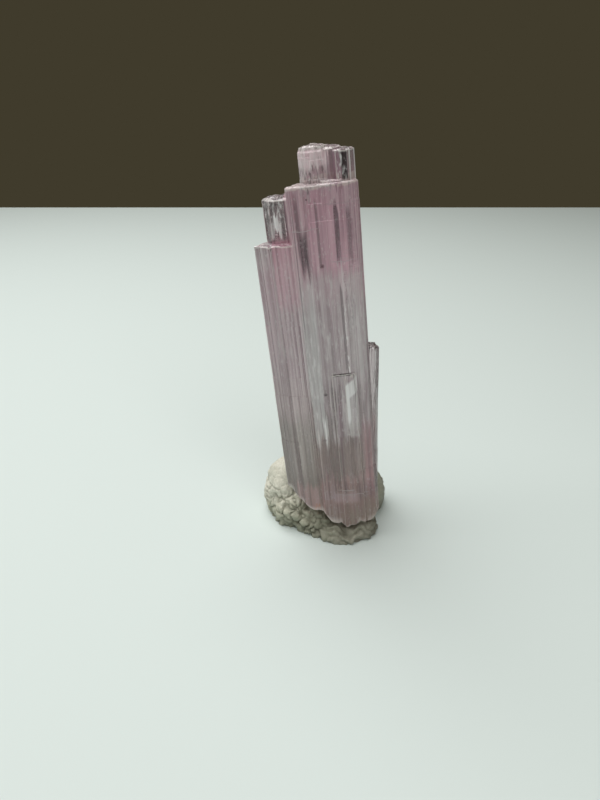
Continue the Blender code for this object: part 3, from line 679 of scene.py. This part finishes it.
def tourmaline_material(settings):
    """Elbaite tourmaline, natural prism faces: glassy but striated, so light passes and is smeared along the
    crystal, milky where it is veiled, and pale at its edges, partly from wear and partly as a painted
    highlight."""
    made, tree = new_material("elbaite tourmaline, natural striated faces")
    place = add(tree, "ShaderNodeTexCoord").outputs["Object"]
    inside = add(tree, "ShaderNodeMapping", {
        "Vector": place, "Location": AXIS_FOOT, "Rotation": (0, -LEAN, 0), "Scale": (MM, MM, MM),
    }, vector_type="TEXTURE").outputs["Vector"]
    parts = add(tree, "ShaderNodeSeparateXYZ", {"Vector": inside})
    across, along = parts.outputs["X"], parts.outputs["Z"]
    drift = add(tree, "ShaderNodeTexNoise", {"Vector": inside, "Scale": 0.35, "Detail": 2.0}).outputs["Fac"]
    height = add(tree, "ShaderNodeMath", {0: drift, 1: 5.0, 2: along}, operation="MULTIPLY_ADD").outputs[0]
    share = add(tree, "ShaderNodeMapRange", {"Value": height, "From Min": 2.5, "From Max": 29.5}).outputs[0]
    colour = add(tree, "ShaderNodeValToRGB", {"Fac": share}, stops=ZONE_COLOURS).outputs["Color"]
    broad = streaks(tree, inside, "broad")
    runs = streaks(tree, inside, "runs")
    fine = streaks(tree, inside, "fine")
    hair = streaks(tree, inside, "hair")
    specks = streaks(tree, inside, "specks")
    steps = streaks(tree, inside, "steps")
    dark, pale = linear(DEEP_STREAK), linear(PALE_STREAK)
    colour = blended(tree, 0.4, colour, blended(tree, broad, dark, pale), "MULTIPLY")
    lines = blended(tree, fine, dark, pale)
    colour = blended(tree, product(tree, runs, 0.85), colour, lines)
    colour = blended(tree, 0.5, colour, blended(tree, hair, dark, pale), "MULTIPLY")
    clear = add(tree, "ShaderNodeMapRange", {
        "Value": runs, "To Min": settings.clearness, "To Max": settings.milkiness,
    }).outputs[0]
    fray = streaks(tree, inside, "fray")
    frayed = moved_along(tree, inside, fray, 3.0, -1.5)
    waves = add(tree, "ShaderNodeTexNoise", {"Vector": inside, "Scale": 0.9, "Detail": 3.0}).outputs["Fac"]
    wavy = moved_along(tree, inside, waves, 0.5, -0.25)
    uneven = add(tree, "ShaderNodeMapRange", {"Value": fine, "To Min": 0.45}).outputs[0]
    smoother = add(tree, "ShaderNodeMapRange", {"Value": fine, "To Min": 0.75}).outputs[0]
    cluster = streaks(tree, inside, "cluster")
    slanted = moved_along(tree, inside, across, -FACET_SLOPE, FACET_SLOPE)
    patterns = {
        "plain": (inside, None),
        "wavy": (wavy, None),
        "frayed": (frayed, uneven),
        "slanted": (slanted, smoother),
        "banded": (inside, streaks(tree, inside, "banded")),
        "beaded": (inside, streaks(tree, inside, "beaded")),
        "mottled": (frayed, product(tree, cluster, streaks(tree, inside, "mottled"))),
        "speckled": (frayed, product(tree, cluster, streaks(tree, inside, "speckled"))),
    }
    # Veils and marks, and the painted highlights among them, laid over the colour
    for painted_patch in VEILS_AND_HIGHLIGHTS:
        spot, grain = patterns[painted_patch.pattern]
        mask = inside_box(tree, spot, painted_patch)
        if grain:
            mask = product(tree, mask, grain)
        colour = blended(tree, product(tree, mask, painted_patch.cover), colour, linear(painted_patch.colour))
        clear = add(tree, "ShaderNodeMix", {0: mask, 2: clear, 3: painted_patch.clear}).outputs[0]
    colour = blended(tree, product(tree, specks, 0.3), colour, pale)
    # Pale edges, partly real wear and partly a painted highlight
    turn = add(tree, "ShaderNodeAttribute", attribute_name="wear_and_highlight").outputs["Fac"]
    wear_and_highlight = add(tree, "ShaderNodeMapRange", {"Value": turn, "From Min": 0.35, "From Max": 1.0}).outputs[0]
    colour = blended(tree, product(tree, wear_and_highlight, 0.55), colour, linear(WORN_EDGE_AND_HIGHLIGHT))
    clear = add(tree, "ShaderNodeMix", {0: wear_and_highlight, 2: clear, 3: 0.2}).outputs[0]
    lines = add(tree, "ShaderNodeMath", {0: fine, 1: 2.0, 2: hair}, operation="MULTIPLY_ADD").outputs[0]
    relief = add(tree, "ShaderNodeMath", {0: steps, 1: 0.8, 2: lines}, operation="MULTIPLY_ADD").outputs[0]
    bump = add(tree, "ShaderNodeBump", {
        "Height": relief, "Strength": settings.hair_strength, "Distance": settings.hair_depth * MM,
    }).outputs["Normal"]
    shader = add(tree, "ShaderNodeBsdfPrincipled", {
        "Base Color": colour, "Roughness": settings.roughness, "IOR": TOURMALINE_IOR,
        "Transmission Weight": clear, "Normal": bump,
    })
    absorption = add(tree, "ShaderNodeVolumeAbsorption", {
        "Color": linear(ABSORBED_TINT), "Density": settings.density,
    })
    add(tree, "ShaderNodeOutputMaterial", {
        "Surface": shader.outputs["BSDF"], "Volume": absorption.outputs["Volume"],
    })
    return made


def patch_share(place, patch):
    """1 well inside a patch of the putty, fading to 0 over its soft edges."""
    share = 1.0
    for direction, start, full in patch:
        share *= smooth_share(place.dot(Vector(direction)), start, full)
    return share


def knead(place, settings):
    """How far the kneaded surface stands out at a place in millimetres, and how much painted shade it gets in
    its creases, its fold troughs and the hollow under the crystal.
    """
    shifts = [Vector((shift, 0, 0)) for shift in (0, 20, 40)]
    wander = Vector([noise.noise(place * WANDER_GRAIN + shift) for shift in shifts]) * WANDER
    distances, _ = noise.voronoi((place + wander) / settings.grain_size)
    small, _ = noise.voronoi((place - wander) / (settings.grain_size * SMALL_LUMPS))
    crease = max(0.0, 1 - (distances[1] - distances[0]) / CREASE_WIDTH)
    dome = 0.5 - distances[0] ** 2
    pressed = max(patch_share(place, PRESSED_PATCH), patch_share(place, THUMBED_PATCH))
    folded = patch_share(place, FOLDED_PATCH)
    lumpy = (1 - PRESSED_FLATTER * pressed) * (1 - FOLDED_FLATTER * folded)
    lumpy *= 0.8 + 0.6 * noise.noise(place * 0.8)
    across, back, up = FOLD_SLANT
    fold = math.sin((place.x * across + place.z * up + place.y * back + wander.x * FOLD_WANDER) * FOLD_RATE)
    height = settings.grain_height * lumpy * (dome - 0.9 * crease ** 2 + 0.3 * (0.5 - small[0]))
    height += settings.fold_height * folded * fold * (1.1 + 1.2 * noise.noise(place * 1.1))
    for across, up, radius in PUTTY_CURLS:
        ring = math.hypot(place.x - across, place.z - up) - radius
        if place.y < CURLS_END:
            height += settings.fold_height * 1.3 * math.exp(-(ring / CURL_WIDTH) ** 2)
    height += 0.03 * noise.noise(place * 4.0) + 0.16 * noise.noise(place * 0.9)
    (across, up), (half_width, half_height) = PUTTY_HOLLOW
    hollow = math.exp(-((place.x - across) / half_width) ** 2 - ((place.z - up) / half_height) ** 2)
    hollow *= smooth_share(-place.y, 1.2, 2.0)
    height -= HOLLOW_DEPTH * hollow
    # The second value is a mask of painted shade: creases, fold troughs and the hollow's shadow
    return height, max(crease ** 2 * lumpy, 0.7 * folded * max(0.0, -fold), 1.4 * hollow)


def smooth_share(value, start, end):
    """0 before the start, 1 after the end, and a smooth rise between them."""
    share = min(1.0, max(0.0, (value - start) / (end - start)))
    return share * share * (3 - 2 * share)


def putty_material():
    """Mounting putty, kneaded by hand: an oily chalk paste, matt with a faint sheen, cream towards the upper
    left and grey-green towards the lower right, partly as painted light and shade, and painted with shade in
    its creases."""
    made, tree = new_material("mounting putty, kneaded chalk paste")
    place = add(tree, "ShaderNodeTexCoord").outputs["Object"]
    spot = add(tree, "ShaderNodeVectorMath", {0: place, "Scale": 1 / MM}, operation="SCALE").outputs[0]
    parts = add(tree, "ShaderNodeSeparateXYZ", {"Vector": spot})
    blotch = add(tree, "ShaderNodeTexNoise", {"Vector": spot, "Scale": 1.1, "Detail": 5.0}).outputs["Fac"]
    grit = add(tree, "ShaderNodeTexNoise", {"Vector": spot, "Scale": 7.0, "Detail": 3.0}).outputs["Fac"]
    # Paler towards the top and the left, darker towards the bottom and the right: partly the putty's own
    # colour, partly painted light and shade
    rise = add(tree, "ShaderNodeMath", {0: blotch, 1: 2.2, 2: parts.outputs["Z"]}, operation="MULTIPLY_ADD")
    slope = add(tree, "ShaderNodeMath", {
        0: parts.outputs["X"], 1: -0.55, 2: rise.outputs[0],
    }, operation="MULTIPLY_ADD").outputs[0]
    share = add(tree, "ShaderNodeMapRange", {"Value": slope, "From Min": -1.0, "From Max": 6.2}).outputs[0]
    colour = add(tree, "ShaderNodeValToRGB", {"Fac": share}, stops=PUTTY_COLOURS_AND_LIGHT).outputs["Color"]
    mottled = add(tree, "ShaderNodeMapRange", {"Value": grit, "From Min": 0.35, "From Max": 0.65}).outputs[0]
    tone = blended(tree, mottled, linear(PUTTY_GRIT), linear(CLEAN))
    colour = blended(tree, 0.4, colour, tone, "MULTIPLY")
    # Painted shade in the creases, the fold troughs and the hollow under the crystal's foot
    crease = add(tree, "ShaderNodeAttribute", attribute_name="crease").outputs["Fac"]
    colour = blended(tree, product(tree, crease, 0.65), colour, linear(PUTTY_CREASE_SHADE))
    bump = add(tree, "ShaderNodeBump", {
        "Height": grit, "Strength": 0.2, "Distance": 0.03 * MM,
    }).outputs["Normal"]
    shader = add(tree, "ShaderNodeBsdfPrincipled", {
        "Base Color": colour, "Roughness": 0.6, "IOR": 1.48, "Normal": bump,
    })
    add(tree, "ShaderNodeOutputMaterial", {"Surface": shader.outputs["BSDF"]})
    return made


def floor_material():
    """Matt pale card, uncoated: it spreads the light evenly and holds a soft shadow."""
    made, tree = new_material("matt pale card")
    shader = add(tree, "ShaderNodeBsdfPrincipled", {
        "Base Color": linear(CARD_COLOUR), "Roughness": 0.8, "Specular IOR Level": 0.2,
    })
    add(tree, "ShaderNodeOutputMaterial", {"Surface": shader.outputs["BSDF"]})
    return made


class CrystalSettings(bpy.types.PropertyGroup):
    """What a user would change on the crystals."""

    seed: IntProperty(
        name="Seed", description="Which of all bundles of this form is grown", default=40)
    stria_pitch: FloatProperty(
        name="Fineness", description="Distance between two points of a prism's outline, in millimetres",
        default=0.055, min=0.02)
    ring_gap: FloatProperty(
        name="Ring gap", description="Distance between two rings of a prism, in millimetres",
        default=0.9, min=0.1)
    stria_depth: FloatProperty(
        name="Striation depth", description="Depth of the deepest striation, in millimetres",
        default=0.06, min=0.0)
    growth_step: FloatProperty(
        name="Growth step", description="Height of one growth step on a face, in millimetres",
        default=0.02, min=0.0)
    growth_ends: IntProperty(
        name="Growth steps", description="How many growth steps a prism has along its length",
        default=5, min=0)
    end_relief: FloatProperty(
        name="End relief", description="Depth of the pits and chips of a prism's flat end, in millimetres",
        default=0.12, min=0.0)
    fit_gap: FloatProperty(
        name="Fit gap", description="Air between the crystals and the putty, in millimetres",
        default=0.03, min=0.0)
    roughness: FloatProperty(
        name="Roughness", description="How much the faces blur what is seen through them",
        default=0.08, min=0.0, max=1.0, subtype="FACTOR")
    hair_depth: FloatProperty(
        name="Hairline depth", description="Depth of the finest striations, in millimetres",
        default=0.01, min=0.0)
    hair_strength: FloatProperty(
        name="Hairline strength", description="How strongly the finest striations show",
        default=0.6, min=0.0, max=1.0, subtype="FACTOR")
    clearness: FloatProperty(
        name="Clearness", description="Share of the light that passes rather than scatters",
        default=0.66, min=0.0, max=1.0, subtype="FACTOR")
    milkiness: FloatProperty(
        name="Milkiness", description="Share of the light that still passes where the crystal is milky",
        default=0.3, min=0.0, max=1.0, subtype="FACTOR")
    density: FloatProperty(
        name="Absorption", description="How strongly a metre of crystal absorbs",
        default=150.0, min=0.0)


class PuttySettings(bpy.types.PropertyGroup):
    """What a user would change on the putty."""

    voxel: FloatProperty(
        name="Fineness", description="Size of the putty's smallest detail, in millimetres",
        default=0.08, min=0.03)
    grain_size: FloatProperty(
        name="Grain", description="Width of one pressed lump, in millimetres", default=0.75, min=0.1)
    grain_height: FloatProperty(
        name="Grain height", description="Height of a pressed lump, in millimetres", default=0.28, min=0.0)
    fold_height: FloatProperty(
        name="Fold height", description="Height of a fold or a rolled curl, in millimetres",
        default=0.07, min=0.0)


class StageSettings(bpy.types.PropertyGroup):
    """What a user would change on the stage."""

    floor_size: FloatProperty(
        name="Floor", description="Side of the pale floor", default=0.26, min=0.05, unit="LENGTH")
    lens: FloatProperty(
        name="Lens", description="Focal length of the camera, in millimetres", default=27.0, min=10.0)


class SPECIMEN_OT_crystals(bpy.types.Operator):
    """Grow the bundle of striated tourmaline prisms"""

    bl_idname = "specimen.crystals"
    bl_label = "Grow the crystals"

    def execute(self, context):
        settings = context.scene.specimen_crystals
        obj = grow_bundle("tourmaline_bundle", settings)
        mark_edges(obj, "wear_and_highlight")
        obj.data.transform(bundle_matrix())
        obj.data.materials.clear()
        obj.data.materials.append(tourmaline_material(settings))
        start_alone()
        obj.select_set(True)
        context.view_layer.objects.active = obj
        bpy.ops.object.shade_smooth_by_angle(angle=SMOOTH_ANGLE)
        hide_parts("tourmaline_crystals")
        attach(obj, "root")
        return {"FINISHED"}


class SPECIMEN_OT_putty(bpy.types.Operator):
    """Knead the lump of mounting putty"""

    bl_idname = "specimen.putty"
    bl_label = "Knead the putty"

    def execute(self, context):
        settings = context.scene.specimen_putty
        start_alone()
        lobes = []
        for centre, half in PUTTY_LOBES:
            bpy.ops.mesh.primitive_ico_sphere_add(subdivisions=4, radius=1.0, location=centre)
            lobe = context.object
            lobe.scale = half
            lobes.append(lobe)
        for lobe in lobes:
            lobe.select_set(True)
        context.view_layer.objects.active = lobes[0]
        bpy.ops.object.transform_apply(location=True, rotation=True, scale=True)
        bpy.ops.object.join()
        obj = context.object
        obj.name = "kneaded_putty"
        blend = obj.modifiers.new("blend", "REMESH")
        blend.mode = "VOXEL"
        blend.voxel_size = settings.voxel
        apply_modifiers(obj)
        mesh = bmesh.new()
        mesh.from_mesh(obj.data)
        mesh.normal_update()
        layer = mesh.verts.layers.float.new("crease")
        for vert in mesh.verts:
            height, crease = knead(vert.co.copy(), settings)
            vert.co += vert.normal * height
            vert[layer] = crease
        mesh.to_mesh(obj.data)
        mesh.free()
        bpy.ops.object.mode_set(mode="EDIT")
        bpy.ops.mesh.select_all(action="SELECT")
        bpy.ops.mesh.bisect(plane_co=(0, 0, 0), plane_no=(0, 0, 1), use_fill=True, clear_inner=True)
        bpy.ops.object.mode_set(mode="OBJECT")
        crystals = context.scene.specimen_crystals
        imprint = grow_bundle("imprint", crystals, crystals.fit_gap)
        imprint.data.transform(Matrix.Scale(1 / MM, 4) @ bundle_matrix())
        join_by_boolean(obj, imprint, "DIFFERENCE")
        drop_flakes(obj)
        obj.data.transform(Matrix.Scale(MM, 4))
        obj.data.materials.clear()
        obj.data.materials.append(putty_material())
        obj.data.shade_smooth()
        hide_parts("mounting_putty")
        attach(obj, "root")
        return {"FINISHED"}


class SPECIMEN_OT_stage(bpy.types.Operator):
    """Set out the pale floor, the soft lights and the camera"""

    bl_idname = "specimen.stage"
    bl_label = "Set the stage"

    def execute(self, context):
        settings = context.scene.specimen_stage
        scene = context.scene
        start_alone()
        bpy.ops.mesh.primitive_plane_add(size=settings.floor_size, location=(0, 0, 0))
        floor = context.object
        floor.name = "pale_floor"
        floor.data.materials.append(floor_material())
        world = bpy.data.worlds.new("plain backdrop")
        world.use_nodes = True
        world.node_tree.nodes["Background"].inputs["Color"].default_value = linear(BACKDROP)
        scene.world = world
        for name, place, size, power in LAMPS:
            bpy.ops.object.light_add(type="AREA", location=place)
            lamp = context.object
            lamp.name = name
            lamp.data.size = size
            lamp.data.energy = power
            aim = LAMP_AIM - Vector(place)
            lamp.rotation_euler = aim.to_track_quat("-Z", "Y").to_euler()
        bpy.ops.object.camera_add(location=CAMERA_PLACE, rotation=(math.radians(90 - CAMERA_DIP), 0, 0))
        camera = context.object
        camera.data.lens = settings.lens
        camera.data.clip_start = 0.001
        scene.camera = camera
        scene.view_settings.view_transform = "Standard"
        return {"FINISHED"}


class SPECIMEN_PT_panel(bpy.types.Panel):
    """The specimen's settings and steps"""

    bl_label = "Tourmaline specimen"
    bl_idname = "SPECIMEN_PT_panel"
    bl_space_type = "VIEW_3D"
    bl_region_type = "UI"
    bl_category = "Specimen"

    def draw(self, context):
        scene = context.scene
        for settings, operator in (
            (scene.specimen_crystals, SPECIMEN_OT_crystals.bl_idname),
            (scene.specimen_putty, SPECIMEN_OT_putty.bl_idname),
            (scene.specimen_stage, SPECIMEN_OT_stage.bl_idname),
        ):
            box = self.layout.box()
            for name in settings.__annotations__:
                box.prop(settings, name)
            box.operator(operator)


CLASSES = (
    CrystalSettings, PuttySettings, StageSettings,
    SPECIMEN_OT_crystals, SPECIMEN_OT_putty, SPECIMEN_OT_stage, SPECIMEN_PT_panel,
)


def register():
    for cls in CLASSES:
        bpy.utils.register_class(cls)
    bpy.types.Scene.specimen_crystals = PointerProperty(type=CrystalSettings)
    bpy.types.Scene.specimen_putty = PointerProperty(type=PuttySettings)
    bpy.types.Scene.specimen_stage = PointerProperty(type=StageSettings)


def unregister():
    del bpy.types.Scene.specimen_stage
    del bpy.types.Scene.specimen_putty
    del bpy.types.Scene.specimen_crystals
    for cls in reversed(CLASSES):
        bpy.utils.unregister_class(cls)


def main():
    register()
    bpy.ops.specimen.crystals()
    bpy.ops.specimen.putty()
    bpy.ops.specimen.stage()


if __name__ == "__main__":
    main()
